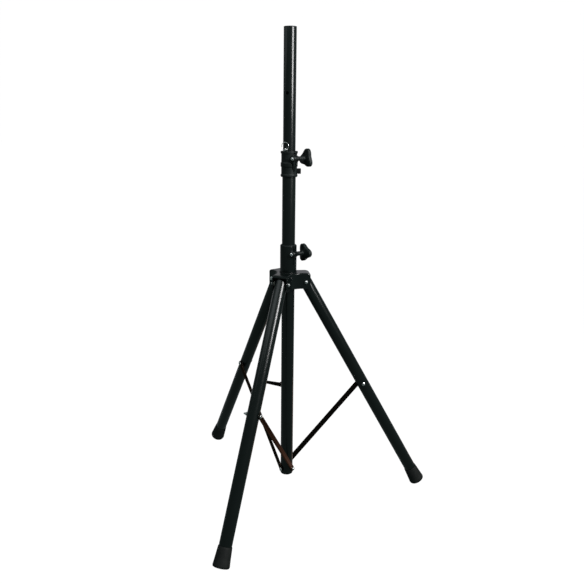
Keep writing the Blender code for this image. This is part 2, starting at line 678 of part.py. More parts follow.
def make_brace(number, leg, seat):
    """Flat strip from the leg's bolt down to the mast's foot, on the leg's left side."""
    fold = LEG_ANGLE + BRACE_ANGLE
    brace = make_empty(f"brace_{number}_pivot",
                       at(0, 0, -BRACE_PIN) @ Matrix.Rotation(fold, 4, "Y"), leg)
    radius = BRACE_W / 2
    outline = (arc_points((0, 0), radius, 0, 180, 10)
               + arc_points((0, -BRACE_LENGTH), radius, 180, 360, 10))
    holes = [circle_points((0, y), BOLT_HOLE_R, SMALL) for y in (0, -BRACE_LENGTH)]
    strip = flat_mesh(f"brace_{number}", [outline] + holes, BRACE_T)
    upright = at(0, BRACE_LAT + BRACE_T / 2, 0) @ Matrix.Rotation(math.pi / 2, 4, "X")
    link_piece(f"brace_{number}", strip, PAINT, brace, upright)
    space = BRACE_LAT - LEG_R - GAP
    washer = washer_mesh(f"brace_washer_{number}", BRACE_WASHER_R, BOLT_R + GAP, space)
    link_piece(f"brace_washer_{number}", washer, NYLON, brace,
               along_y(0, (LEG_R + BRACE_LAT) / 2, 0))
    bolt(f"brace_bolt_{number}", seat - BRACE_LAT - 0.0001, brace,
         along_y(0, seat, -BRACE_LENGTH))


# ---------------------------------------------------------------- assembly
def clamp_frame(height):
    """+X up, +Y away from the mast and +Z along the clamp's bolt, towards the knob."""
    turn = math.radians(CLAMP_AZIMUTH)
    outward = Vector((math.cos(turn), math.sin(turn), 0))
    bolt_axis = Vector((-math.sin(turn), math.cos(turn), 0))
    up = Vector((0, 0, 1))
    basis = Matrix((up, outward, bolt_axis)).transposed().to_4x4()
    return Matrix.Translation(outward * CLAMP_RADIUS + up * height) @ basis


def build():
    mast = make_empty("mast", at(0, MAST_Y, 0))
    make_mast(mast)
    make_mast_tab(mast)
    upper_clamp = make_empty("upper_clamp", clamp_frame(UPPER_CLAMP_Z), mast)
    collar = make_collar(mast, upper_clamp)
    make_set_screw(mast, collar)
    make_clamp("upper", upper_clamp, UPPER_KNOB_TURN)

    pole = make_empty("pole", Matrix(), mast)
    make_pole(pole)
    make_pin(make_empty("pin_axis", along_minus_y(0, 0, PIN_Z), pole))

    hub = make_empty("hub", Matrix(), mast)
    lower_clamp = make_empty("lower_clamp", clamp_frame(LOWER_CLAMP_Z), hub)
    make_hub_sleeve(hub, lower_clamp)
    make_hub_bracket(hub)
    make_clamp("lower", lower_clamp, LOWER_KNOB_TURN)
    for number in (1, 2, 3):
        make_leg(number, hub, mast)


build()
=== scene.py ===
import json
import math

import bmesh
import bpy
from mathutils import Matrix, Vector

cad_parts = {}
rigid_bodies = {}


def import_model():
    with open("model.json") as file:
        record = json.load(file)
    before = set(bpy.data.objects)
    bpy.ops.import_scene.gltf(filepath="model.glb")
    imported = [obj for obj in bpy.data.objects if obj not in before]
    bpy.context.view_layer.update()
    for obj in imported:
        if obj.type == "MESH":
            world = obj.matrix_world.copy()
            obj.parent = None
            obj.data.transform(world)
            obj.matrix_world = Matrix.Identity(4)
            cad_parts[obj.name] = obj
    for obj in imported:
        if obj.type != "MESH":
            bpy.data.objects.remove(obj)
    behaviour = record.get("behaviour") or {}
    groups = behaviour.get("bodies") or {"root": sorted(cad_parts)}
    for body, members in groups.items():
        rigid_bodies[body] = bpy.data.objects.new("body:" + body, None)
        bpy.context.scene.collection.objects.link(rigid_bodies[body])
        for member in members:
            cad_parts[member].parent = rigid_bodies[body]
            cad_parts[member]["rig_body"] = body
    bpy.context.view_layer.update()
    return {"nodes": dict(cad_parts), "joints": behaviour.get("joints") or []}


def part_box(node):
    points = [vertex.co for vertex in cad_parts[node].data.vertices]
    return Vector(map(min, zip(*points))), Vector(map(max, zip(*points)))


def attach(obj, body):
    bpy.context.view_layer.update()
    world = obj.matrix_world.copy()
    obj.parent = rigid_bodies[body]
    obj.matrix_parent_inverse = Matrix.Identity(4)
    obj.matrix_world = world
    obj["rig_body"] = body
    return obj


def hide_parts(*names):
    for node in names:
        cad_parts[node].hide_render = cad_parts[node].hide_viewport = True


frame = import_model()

# ---- sizes of the details, in metres
SHEET = 0.0026             # pressed bracket
MAST_WALL = 0.0012
POLE_WALL = 0.0014
LEG_WALL = 0.0012
GAP = 0.0003               # between parts that fit in one another
BOLT_HOLE = 0.0034         # radius drilled for a bolt
BOLT_SHANK = 0.0030        # radius
BOLT_HEAD = 0.0040         # height
WASHER_BORE = 0.0032       # radius
HOLE_PITCH = 0.1500        # between the holes in the pole
KNOB_SIDES = 120
FINE = 96                  # sides of the large tubes
LEG_SIDES = 80
MEDIUM = 64
SMALL = 48
JOINTS = {joint["name"]: joint for joint in frame["joints"]}
UP = Vector((0, 0, 1))


# ---- measuring the frame
def middle(node):
    low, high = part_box(node)
    return (low + high) / 2


def heights(node):
    low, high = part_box(node)
    return low.z, high.z


def measure(node, origin, axis):
    """Lowest and highest reach of a CAD node along an axis, and its largest radius."""
    low, high, radius = 1e9, -1e9, 0.0
    for vertex in frame["nodes"][node].data.vertices:
        offset = vertex.co - origin
        along = offset.dot(axis)
        low, high = min(low, along), max(high, along)
        radius = max(radius, (offset - axis * along).length)
    return low, high, radius


def axis_frame(origin, z_axis, x_hint=None):
    """A matrix at the origin whose +Z runs along z_axis and whose +X is nearest the hint."""
    z_axis = z_axis.normalized()
    hint = x_hint if x_hint is not None else (UP if abs(z_axis.z) < 0.9 else Vector((1, 0, 0)))
    x_axis = (hint - z_axis * hint.dot(z_axis)).normalized()
    y_axis = z_axis.cross(x_axis)
    basis = Matrix((x_axis, y_axis, z_axis)).transposed().to_4x4()
    return Matrix.Translation(origin) @ basis


MAST = middle("mast_tube").to_2d().to_3d()          # the mast's axis, at floor height
MAST_FRAME = Matrix.Translation(MAST)


def joint_point(joint):
    return Vector(JOINTS[joint]["pos_m"])


def joint_axis(joint):
    return Vector(JOINTS[joint]["axis"]).normalized()


def outward(point):
    """The level direction from the mast's axis to a point."""
    return (point - MAST).to_2d().to_3d().normalized()


def reach_of(node):
    """A CAD node's greatest distance from the mast's axis."""
    return max((v.co - MAST).to_2d().length for v in frame["nodes"][node].data.vertices)


CLAMP_AXIS = joint_axis("upper_knob_turn")
CLAMP_OUT = CLAMP_AXIS.cross(UP).normalized()        # from the mast towards the clamps' lugs
CLAMP_ANGLE = math.atan2(CLAMP_OUT.y, CLAMP_OUT.x)
CLAMP_TURN = Matrix.Rotation(CLAMP_ANGLE, 4, "Z")


def leg_data(number):
    """Pivot, brace pin, sideways axis and the leg's own frame (+Z up along the tube)."""
    pivot = joint_point(f"leg_{number}_fold")
    pin = joint_point(f"brace_{number}_fold")
    side = joint_axis(f"leg_{number}_fold")
    along = (pivot - pin).normalized()
    return pivot, pin, side, axis_frame(pivot, along, side.cross(along))


# ---- node materials
def new_material(name):
    material = bpy.data.materials.new(name)
    material.use_nodes = True
    nodes = material.node_tree.nodes
    return material, nodes, material.node_tree.links, nodes["Principled BSDF"]


def noise(nodes, links, coordinate, scale, detail=3.0, roughness=0.55, stretch=None):
    """A noise in the piece's own metres; stretch scales its axes."""
    vector = coordinate
    if stretch:
        mapping = nodes.new("ShaderNodeMapping")
        mapping.inputs["Scale"].default_value = stretch
        links.new(coordinate, mapping.inputs["Vector"])
        vector = mapping.outputs["Vector"]
    texture = nodes.new("ShaderNodeTexNoise")
    texture.inputs["Scale"].default_value = scale
    texture.inputs["Detail"].default_value = detail
    texture.inputs["Roughness"].default_value = roughness
    links.new(vector, texture.inputs["Vector"])
    return texture.outputs["Fac"]


def ramp(nodes, links, value, stops):
    node = nodes.new("ShaderNodeValToRGB")
    elements = node.color_ramp.elements
    while len(elements) > 1:
        elements.remove(elements[0])
    elements[0].position, elements[0].color = stops[0][0], (*stops[0][1], 1.0)
    for position, colour in stops[1:]:
        elements.new(position).color = (*colour, 1.0)
    links.new(value, node.inputs["Fac"])
    return node.outputs["Color"]


def grey(value):
    return (value, value, value)


def add_bump(nodes, links, height, strength, distance):
    bump = nodes.new("ShaderNodeBump")
    bump.inputs["Strength"].default_value = strength
    bump.inputs["Distance"].default_value = distance
    links.new(height, bump.inputs["Height"])
    return bump.outputs["Normal"]


def mix_colour(nodes, links, factor, first, second):
    """Blends two colours, each a socket or a tuple, by a factor socket."""
    node = nodes.new("ShaderNodeMix")
    node.data_type = "RGBA"
    sockets = [s for s in node.inputs if s.type == "RGBA"]
    for socket, value in ((sockets[0], first), (sockets[1], second)):
        if isinstance(value, tuple):
            socket.default_value = (*value, 1.0)
        else:
            links.new(value, socket)
    links.new(factor, node.inputs["Factor"])
    return [s for s in node.outputs if s.type == "RGBA"][0]


def set_look(nodes, links, shader, colour, gloss, bump, specular=0.5):
    """Wires colour, roughness and a bump of (height, strength, distance) into the shader."""
    links.new(colour, shader.inputs["Base Color"])
    links.new(gloss, shader.inputs["Roughness"])
    shader.inputs["Specular IOR Level"].default_value = specular
    links.new(add_bump(nodes, links, *bump), shader.inputs["Normal"])


def object_coordinate(nodes):
    return nodes.new("ShaderNodeTexCoord").outputs["Object"]


def painted_steel(name, tint, rub=0.0):
    """Black powder coat: fine orange peel, cloudy gloss, and rubbed streaks along +Z."""
    material, nodes, links, shader = new_material(name)
    place = object_coordinate(nodes)
    cloud = noise(nodes, links, place, 9.0, 4.0, 0.6)
    peel = noise(nodes, links, place, 900.0, 2.0, 0.5)
    dust = noise(nodes, links, place, 160.0, 6.0, 0.7)
    base = ramp(nodes, links, cloud, [(0.30, tuple(c * 0.75 for c in tint)), (0.75, tint)])
    speck = ramp(nodes, links, dust, [(0.66, grey(0.0)), (0.78, grey(1.0))])
    colour = mix_colour(nodes, links, speck, base, tuple(c * 1.9 for c in tint))
    gloss = ramp(nodes, links, cloud, [(0.25, grey(0.19)), (0.75, grey(0.27))])
    if rub > 0:
        streak = noise(nodes, links, place, 1.0, 5.0, 0.65, (420.0, 420.0, 7.0))
        lines = ramp(nodes, links, streak, [(0.60, grey(0.0)), (0.72, grey(rub))])
        colour = mix_colour(nodes, links, lines, colour, (0.022, 0.023, 0.024))
        gloss = mix_colour(nodes, links, lines, gloss, grey(0.38))
    set_look(nodes, links, shader, colour, gloss, (peel, 0.10, 0.0001))
    return material


def moulded_plastic(name, tint, roughness):
    """Satin moulded plastic with a fine spark-eroded grain."""
    material, nodes, links, shader = new_material(name)
    place = object_coordinate(nodes)
    cloud = noise(nodes, links, place, 30.0, 3.0, 0.6)
    grain = noise(nodes, links, place, 2600.0, 2.0, 0.6)
    base = ramp(nodes, links, cloud, [(0.3, tuple(c * 0.8 for c in tint)), (0.7, tint)])
    rough = ramp(nodes, links, cloud, [(0.3, grey(roughness - 0.05)), (0.7, grey(roughness + 0.05))])
    set_look(nodes, links, shader, base, rough, (grain, 0.18, 0.00008), specular=0.30)
    return material


def moulded_rubber(name):
    """Matt boot rubber: dusty bloom, floor scuffs low down and a coarse grain."""
    material, nodes, links, shader = new_material(name)
    place = object_coordinate(nodes)
    bloom = noise(nodes, links, place, 60.0, 5.0, 0.65)
    grain = noise(nodes, links, place, 1500.0, 2.0, 0.6)
    scuff = noise(nodes, links, place, 240.0, 6.0, 0.75)
    base = ramp(nodes, links, bloom, [(0.30, (0.008, 0.009, 0.009)), (0.75, (0.018, 0.019, 0.018))])
    marks = ramp(nodes, links, scuff, [(0.64, grey(0.0)), (0.80, grey(0.6))])
    colour = mix_colour(nodes, links, marks, base, (0.040, 0.039, 0.036))
    rough = ramp(nodes, links, bloom, [(0.3, grey(0.55)), (0.8, grey(0.75))])
    set_look(nodes, links, shader, colour, rough, (grain, 0.30, 0.00012), specular=0.22)
    return material


def zinc_plate(name, tint, roughness):
    """Bright zinc: faint passivation cloud, a fine grain and small dull spots."""
    material, nodes, links, shader = new_material(name)
    place = object_coordinate(nodes)
    cloud = noise(nodes, links, place, 260.0, 4.0, 0.6)
    spots = noise(nodes, links, place, 900.0, 3.0, 0.7)
    fine = noise(nodes, links, place, 4200.0, 2.0, 0.5)
    warm = (tint[0] * 0.96, tint[1] * 0.95, tint[2] * 0.90)
    base = ramp(nodes, links, cloud, [(0.35, warm), (0.65, tint)])
    dull = ramp(nodes, links, spots, [(0.62, grey(0.0)), (0.75, grey(0.55))])
    colour = mix_colour(nodes, links, dull, base, tuple(c * 0.62 for c in tint))
    rough = ramp(nodes, links, cloud, [(0.3, grey(roughness)), (0.7, grey(roughness + 0.12))])
    set_look(nodes, links, shader, colour, rough, (fine, 0.08, 0.00005))
    shader.inputs["Metallic"].default_value = 1.0
    return material


def natural_nylon(name):
    material, nodes, links, shader = new_material(name)
    place = object_coordinate(nodes)
    cloud = noise(nodes, links, place, 300.0, 3.0, 0.6)
    base = ramp(nodes, links, cloud, [(0.3, (0.56, 0.54, 0.47)), (0.7, (0.66, 0.64, 0.57))])
    links.new(base, shader.inputs["Base Color"])
    shader.inputs["Roughness"].default_value = 0.5
    shader.inputs["Subsurface Weight"].default_value = 0.08
    shader.inputs["Subsurface Radius"].default_value = (0.002, 0.002, 0.0015)
    return material


def self_lit(shader):
    shader.inputs["Emission Color"].default_value = (1.0, 1.0, 1.0, 1.0)
    shader.inputs["Emission Strength"].default_value = 1.0


def dome_surface(name):
    material, _, _, shader = new_material(name)
    shader.inputs["Base Color"].default_value = (0, 0, 0, 1)
    self_lit(shader)
    return material


def floor_surface(name):
    material, nodes, links, shader = new_material(name)
    place = object_coordinate(nodes)
    cloud = noise(nodes, links, place, 1.2, 2.0, 0.5)
    base = ramp(nodes, links, cloud, [(0.3, grey(0.06)), (0.7, grey(0.07))])
    links.new(base, shader.inputs["Base Color"])
    shader.inputs["Roughness"].default_value = 0.85
    shader.inputs["Specular IOR Level"].default_value = 0.1
    self_lit(shader)
    return material


def paint_with_painted_brown_reflection(name):
    """The black paint of the braces and the mast's tab, with a painted brown reflection: metallic, its
    reflections tinted brown.
    """
    material = painted_steel(name, (0.030, 0.021, 0.016))
    shader = material.node_tree.nodes["Principled BSDF"]
    # painted reflection: metallic with a brown base and specular tint, so the coat's reflections come out
    # brown as if from a warm floor
    shader.inputs["Metallic"].default_value = 1.0
    shader.inputs["Specular Tint"].default_value = (0.74, 0.62, 0.58, 1.0)
    return material


PAINT_TINT = (0.0034, 0.0056, 0.0054)
PAINT = painted_steel("paint_black", PAINT_TINT)
# the braces' and the tab's paint, with a painted brown reflection
PAINT_BROWN_REFLECTION = paint_with_painted_brown_reflection("paint_black_painted_brown_reflection")
PAINT_RUBBED = painted_steel("paint_black_rubbed", PAINT_TINT, rub=0.30)
PLASTIC = moulded_plastic("plastic_black", (0.0058, 0.0098, 0.0096), 0.52)
RUBBER = moulded_rubber("rubber_black")
ZINC = zinc_plate("zinc_bright", (0.78, 0.78, 0.80), 0.20)
NYLON = natural_nylon("nylon_natural")
BLACK_STEEL = painted_steel("steel_black_oxide", (0.012, 0.012, 0.013))


# ---- mesh tools
def rounded(points, closed=False, steps=4):
    """A profile with its corners rounded: points are (x, y) or (x, y, radius)."""
    result = []
    count = len(points)
    for i, point in enumerate(points):
        here = Vector(point[:2])
        radius = point[2] if len(point) > 2 else 0.0
        inside = closed or 0 < i < count - 1
        if radius <= 0 or not inside:
            result.append(tuple(here))
            continue
        before = Vector(points[i - 1][:2]) - here
        after = Vector(points[(i + 1) % count][:2]) - here
        half = before.angle(after) / 2
        if half > math.radians(88):
            result.append(tuple(here))
            continue
        reach = min(radius / math.tan(half), 0.49 * before.length, 0.49 * after.length)
        radius = reach * math.tan(half)
        centre = here + (before.normalized() + after.normalized()).normalized() * radius / math.sin(half)
        start = here + before.normalized() * reach - centre
        end = here + after.normalized() * reach - centre
        sweep = start.angle_signed(end)
        for step in range(steps + 1):
            turned = start.copy()
            turned.rotate(Matrix.Rotation(-sweep * step / steps, 2))
            result.append(tuple(centre + turned))
    return result


def ring_at(bm, radii, height):
    """A level ring of vertices about Z, one at each of the radii."""
    ring = []
    for i, radius in enumerate(radii):
        angle = 2 * math.pi * i / len(radii)
        ring.append(bm.verts.new((radius * math.cos(angle), radius * math.sin(angle), height)))
    return ring


def lathe(bm, profile, sides, closed=False):
    """Turns a profile of (radius, height) about Z. Ends on the axis become poles."""
    rings = []
    for radius, height in profile:
        if radius < 1e-7:
            rings.append([bm.verts.new((0, 0, height))])
            continue
        rings.append(ring_at(bm, [radius] * sides, height))
    pairs = list(zip(rings, rings[1:]))
    if closed:
        pairs.append((rings[-1], rings[0]))
    for first, second in pairs:
        for i in range(sides):
            j = (i + 1) % sides
            corners = [first[i % len(first)], second[i % len(second)],
                       second[j % len(second)], first[j % len(first)]]
            unique = list(dict.fromkeys(corners))
            if len(unique) > 2:
                bm.faces.new(unique)
    return rings


def bridge(bm, rings, closed=False):
    """Joins rings of equal length with faces and caps both ends, or closes the last on the first."""
    pairs = list(zip(rings, rings[1:]))
    if closed:
        pairs.append((rings[-1], rings[0]))
    else:
        bm.faces.new(list(reversed(rings[0])))
        bm.faces.new(rings[-1])
    for first, second in pairs:
        for i in range(len(first)):
            j = (i + 1) % len(first)
            bm.faces.new((first[i], first[j], second[j], second[i]))


def linked(name, data):
    """A new object in the scene."""
    obj = bpy.data.objects.new(name, data)
    bpy.context.scene.collection.objects.link(obj)
    return obj


def mesh_from(bm, name):
    mesh = bpy.data.meshes.new(name)
    bmesh.ops.recalc_face_normals(bm, faces=bm.faces)
    bm.to_mesh(mesh)
    bm.free()
    return mesh


def lathe_mesh(name, profile, sides, closed=False):
    bm = bmesh.new()
    lathe(bm, profile, sides, closed)
    return mesh_from(bm, name)


def sheet_mesh(name, outlines, thickness):
    """A flat outline with holes, in the local XY plane, thick to both sides."""
    curve = bpy.data.curves.new(name, "CURVE")
    curve.dimensions = "2D"
    curve.fill_mode = "BOTH"
    curve.extrude = thickness / 2
    for outline in outlines:
        spline = curve.splines.new("POLY")
        spline.points.add(len(outline) - 1)
        for point, (x, y) in zip(spline.points, outline):
            point.co = (x, y, 0.0, 1.0)
        spline.use_cyclic_u = True
    return baked(linked(name, curve))


def baked(obj, merge=0.000005):
    """The evaluated mesh of an object in its own space; the object is removed."""
    bpy.context.view_layer.update()
    graph = bpy.context.evaluated_depsgraph_get()
    mesh = bpy.data.meshes.new_from_object(obj.evaluated_get(graph))
    bpy.data.objects.remove(obj, do_unlink=True)
    bm = bmesh.new()
    bm.from_mesh(mesh)
    bmesh.ops.remove_doubles(bm, verts=bm.verts, dist=merge)
    bm.to_mesh(mesh)
    bm.free()
    return mesh


def combined(mesh, operations):
    """Applies ('UNION' | 'DIFFERENCE' | 'INTERSECT', mesh, matrix) steps to a mesh."""
    base = linked("base", mesh)
    tools = []
    for operation, tool_mesh, matrix in operations:
        tool = linked("tool", tool_mesh)
        tool.matrix_world = matrix
        modifier = base.modifiers.new("boolean", "BOOLEAN")
        modifier.operation = operation
        modifier.solver = "EXACT"
        modifier.object = tool
        tools.append(tool)
    result = baked(base)
    for tool in tools:
        bpy.data.objects.remove(tool, do_unlink=True)
    return result


def cut(tool_mesh, matrix):
    return ("DIFFERENCE", tool_mesh, matrix)


def bevelled(mesh, width, segments=3, angle=35):
    """Rounds the creased edges of a mesh."""
    obj = linked("bevel", mesh)
    modifier = obj.modifiers.new("bevel", "BEVEL")
    modifier.width = width
    modifier.segments = segments
    modifier.limit_method = "ANGLE"
    modifier.angle_limit = math.radians(angle)
    return baked(obj)


def arc(centre, radius, start, end, steps):
    points = []
    for i in range(steps + 1):
        angle = math.radians(start + (end - start) * i / steps)
        points.append((centre[0] + radius * math.cos(angle), centre[1] + radius * math.sin(angle)))
    return points


def circle(radius, steps, centre=(0, 0)):
    return arc(centre, radius, 0, 360, steps)[:-1]


def rod(radius, length, sides=SMALL):
    """A plain rod along +Z from the origin, used to drill and to join."""
    return lathe_mesh("rod", [(0, length), (radius, length), (radius, 0), (0, 0)], sides)


def block(low, high):
    bm = bmesh.new()
    size = [b - a for a, b in zip(low, high)]
    centre = [(a + b) / 2 for a, b in zip(low, high)]
    bmesh.ops.create_cube(bm, size=1.0,
                          matrix=Matrix.Translation(centre) @ Matrix.Diagonal((*size, 1.0)))
    return mesh_from(bm, "block")


def joined(parts):
    """Several (mesh, matrix) parts in one mesh."""
    bm = bmesh.new()
    for mesh, matrix in parts:
        copy = mesh.copy()
        copy.transform(matrix)
        bm.from_mesh(copy)
        bpy.data.meshes.remove(copy)
    mesh = bpy.data.meshes.new("joined")
    bm.to_mesh(mesh)
    bm.free()
    return mesh


def show(name, mesh, matrix, material, body, nodes=(), angle=32):
    """Puts a finished piece in the scene, riding its body and standing for CAD nodes."""
    mesh = mesh.copy()
    mesh.name = name
    mesh.materials.clear()
    mesh.materials.append(material)
    mesh.shade_smooth()
    mesh.set_sharp_from_angle(angle=math.radians(angle))
    obj = linked(name, mesh)
    obj.matrix_world = matrix
    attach(obj, body)
    if nodes:
        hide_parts(*nodes)
    return obj


def piece(node, mesh, matrix, material, angle=32):
    """The finished piece that stands for one CAD node and rides on that node's body."""
    body = frame["nodes"][node]["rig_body"]
    return show(f"{node}_detailed", mesh, matrix, material, body, (node,), angle)


# ---- tubes, strips and fasteners
def tube_mesh(outer, wall, low, high, sides=FINE):
    inner, edge = outer - wall, 0.0003
    profile = [(outer, high, edge), (outer, low, edge), (inner, low, edge), (inner, high, edge)]
    return lathe_mesh("tube", rounded(profile, closed=True, steps=3), sides, closed=True)


def threads(bm, radius, low, high):
    """A closed threaded rod from low to high, with one start and a chamfered end at low."""
    sides, pitch, depth = 24, 0.0010, 0.00055
    rows = max(2, round((high - low) / pitch * 6))
    rings = []
    for row in range(rows + 1):
        height = low + (high - low) * row / rows
        chamfer = max(0.0, 0.0012 - (height - low)) * 0.8
        phases = [(height / pitch + i / sides) % 1.0 for i in range(sides)]
        radii = [radius - chamfer - depth * abs(2 * phase - 1) for phase in phases]
        rings.append(ring_at(bm, radii, height))
    bridge(bm, rings)


def hex_prism(radius, low, high):
    mesh = sheet_mesh("hex", [circle(radius, 6)], high - low)
    mesh.transform(Matrix.Translation((0, 0, (low + high) / 2)))
    return mesh


def bolt_mesh(head_radius, length):
    """Button-headed bolt with a hexagon socket. The head's underside is at z = 0."""
    top = BOLT_HEAD
    profile = [(0, top), (head_radius * 0.50, top, 0.0006), (head_radius * 0.86, top * 0.72, 0.0016),
               (head_radius, top * 0.26, 0.0008), (head_radius, 0, 0.0002), (BOLT_SHANK, 0),
               (BOLT_SHANK, -length * 0.45), (0, -length * 0.45)]
    head = lathe_mesh("bolt", rounded(profile, steps=5), SMALL)
    head = combined(head, [cut(hex_prism(0.0023, top - 0.0020, top + 0.002), Matrix())])
    bm = bmesh.new()
    threads(bm, BOLT_SHANK, -length, -length * 0.44)
    return joined([(head, Matrix()), (mesh_from(bm, "threads"), Matrix())])


def nut_mesh(radius, height, bore):
    """Lock nut: a chamfered hexagon with a round crimped collar, standing on z = 0."""
    flat = radius * math.cos(math.pi / 6)
    body = hex_prism(radius, 0, height)
    collar = height * 0.70
    profile = [(0, height), (flat * 0.80, height, 0.0005), (flat * 0.93, height - 0.0010, 0.0006),
               (flat * 0.96, collar, 0.0002), (radius * 1.001, collar - 0.0008),
               (radius * 1.001, 0.0006), (flat * 0.97, 0), (0, 0)]
    envelope = lathe_mesh("envelope", rounded(profile, steps=3), SMALL)
    hole = rod(bore, height * 3)
    return combined(body, [("INTERSECT", envelope, Matrix()),
                           cut(hole, Matrix.Translation((0, 0, -height)))])


def ring_mesh(outer, inner, thickness):
    """A flat washer from z = 0 up."""
    edge = 0.0002
    profile = [(outer, thickness, edge), (outer, 0, edge), (inner, 0, edge), (inner, thickness, edge)]
    return lathe_mesh("washer", rounded(profile, closed=True, steps=2), SMALL, closed=True)


def place_bolt(node, point, axis):
    """A bolt whose head looks along the axis, fitted to its CAD node's reach."""
    low, high, radius = measure(node, point, axis)
    seat = high - BOLT_HEAD
    piece(node, bolt_mesh(radius, seat - low), axis_frame(point + axis * seat, axis), ZINC, 40)


def place_nut(node, point, axis, bore=0.0029):
    """A nut standing on its seat and pointing against the axis."""
    low, high, radius = measure(node, point, axis)
    piece(node, nut_mesh(radius, high - low, bore), axis_frame(point + axis * high, -axis), ZINC, 30)


def place_washer(node, point, axis, material):
    low, high, radius = measure(node, point, axis)
    piece(node, ring_mesh(radius, WASHER_BORE, high - low), axis_frame(point + axis * low, axis), material)


# ---- mast
def make_mast_tube():
    low, high, radius = measure("mast_tube", MAST, UP)
    piece("mast_tube", tube_mesh(radius, MAST_WALL, low, high), MAST_FRAME, PAINT_RUBBED)


def make_mast_plug():
    """End plug with a moulded rim and a shallow dished underside."""
    low, high, radius = measure("mast_plug", MAST, UP)
    bore = radius - 0.0016
    profile = [(0, high), (bore - 0.0012, high, 0.0004), (bore, high - 0.0020, 0.0004),
               (bore, low + 0.0019), (radius, low + 0.0019, 0.0004), (radius, low, 0.0010),
               (radius - 0.0050, low, 0.0006), (radius - 0.0062, low + 0.0014, 0.0006),
               (0.0035, low + 0.0014, 0.0004), (0.0030, low + 0.0006, 0.0003), (0, low + 0.0006)]
    mesh = lathe_mesh("plug", rounded(profile), MEDIUM)
    piece("mast_plug", mesh, MAST_FRAME, PLASTIC)


def make_mast_tab():
    """Tapered sheet tab that stands out from the mast, with a foot where it is welded."""
    out = outward(middle("mast_tab"))
    tip = reach_of("mast_tab")
    root = measure("mast_tube", MAST, UP)[2] + 0.0002
    bottom, top = heights("mast_tab")
    outline = [(root, bottom), (root + 0.0025, bottom + 0.0012, 0.002), (tip - 0.003, top - 0.0090, 0.002),
               (tip, top - 0.0065, 0.001), (tip, top - 0.0025, 0.001), (tip - 0.003, top, 0.002),
               (root + 0.0040, top - 0.0052, 0.003), (root, top - 0.0020)]
    mesh = sheet_mesh("tab", [rounded(outline, closed=True)], 0.0025)
    mesh = bevelled(mesh, 0.0003, 2)
    matrix = MAST_FRAME @ Matrix.Rotation(math.atan2(out.y, out.x), 4, "Z")
    piece("mast_tab", mesh, matrix @ Matrix.Rotation(math.pi / 2, 4, "X"), PAINT_BROWN_REFLECTION)


# ---- split clamps
BOLT_OFFSET = (joint_point("upper_knob_turn") - MAST).to_2d().length
LUG_HALF = 0.0080          # half a lug's width along its bolt
BOSS_R = 0.0075
SLIT = 0.0020              # width of the saw cut
SLIT_DEPTH = 0.034         # the sleeve is cut down to this far below its bolt


def clamp_frame(joint):
    """+X up, +Y away from the mast, +Z along the clamp's bolt towards the knob."""
    return axis_frame(joint_point(joint), CLAMP_AXIS, UP)


def tapered(lug, start, foot, thin):
    """Thins a lug on both sides from the start down to its foot, into a pointed web."""
    slope = math.atan2(LUG_HALF - thin, start - foot)
    steps = []
    for side in (1, -1):
        low, high = sorted((0.0, side * 0.02))
        place = Matrix.Translation((start, 0, side * LUG_HALF)) @ Matrix.Rotation(-side * slope, 4, "Y")
        steps.append(cut(block((-0.06, -0.01, low), (0.0, 0.05, high)), place))
    return combined(lug, steps)


def split_clamp(profile, joint, wall_r, bore_r, up, down, foot, slit_low, slit_high, thin=None):
    """A turned body with a lug, a boss, a web below it, a slit and the bolt's hole."""
    place = MAST_FRAME.inverted() @ clamp_frame(joint)
    height = joint_point(joint).z
    inner, outer = wall_r - BOLT_OFFSET, 0.0020
    outline = [(up, inner), (up, outer, 0.0025), (-down, outer, 0.0025),
               (foot, inner + 0.0024, 0.002), (foot, inner)]
    lug = sheet_mesh("lug", [rounded(outline, closed=True)], 2 * LUG_HALF)
    if thin:
        lug = tapered(lug, -down, foot, thin)
    boss_edge = [(0, LUG_HALF), (BOSS_R, LUG_HALF, 0.0006), (BOSS_R, -LUG_HALF, 0.0006), (0, -LUG_HALF)]
    boss = lathe_mesh("boss", rounded(boss_edge, steps=3), SMALL)
    bore = rod(bore_r, 0.14, FINE)
    slit = block((0, -SLIT / 2, slit_low), (0.05, SLIT / 2, slit_high))
    hole = rod(BOLT_HOLE, 0.04)
    body = lathe_mesh("clamp", profile, FINE, closed=True)
    return combined(body, [
        ("UNION", lug, place),
        ("UNION", boss, place),
        cut(bore, Matrix.Translation((0, 0, height - 0.07))),
        cut(slit, CLAMP_TURN),
        cut(hole, place @ Matrix.Translation((0, 0, -0.02))),
    ])


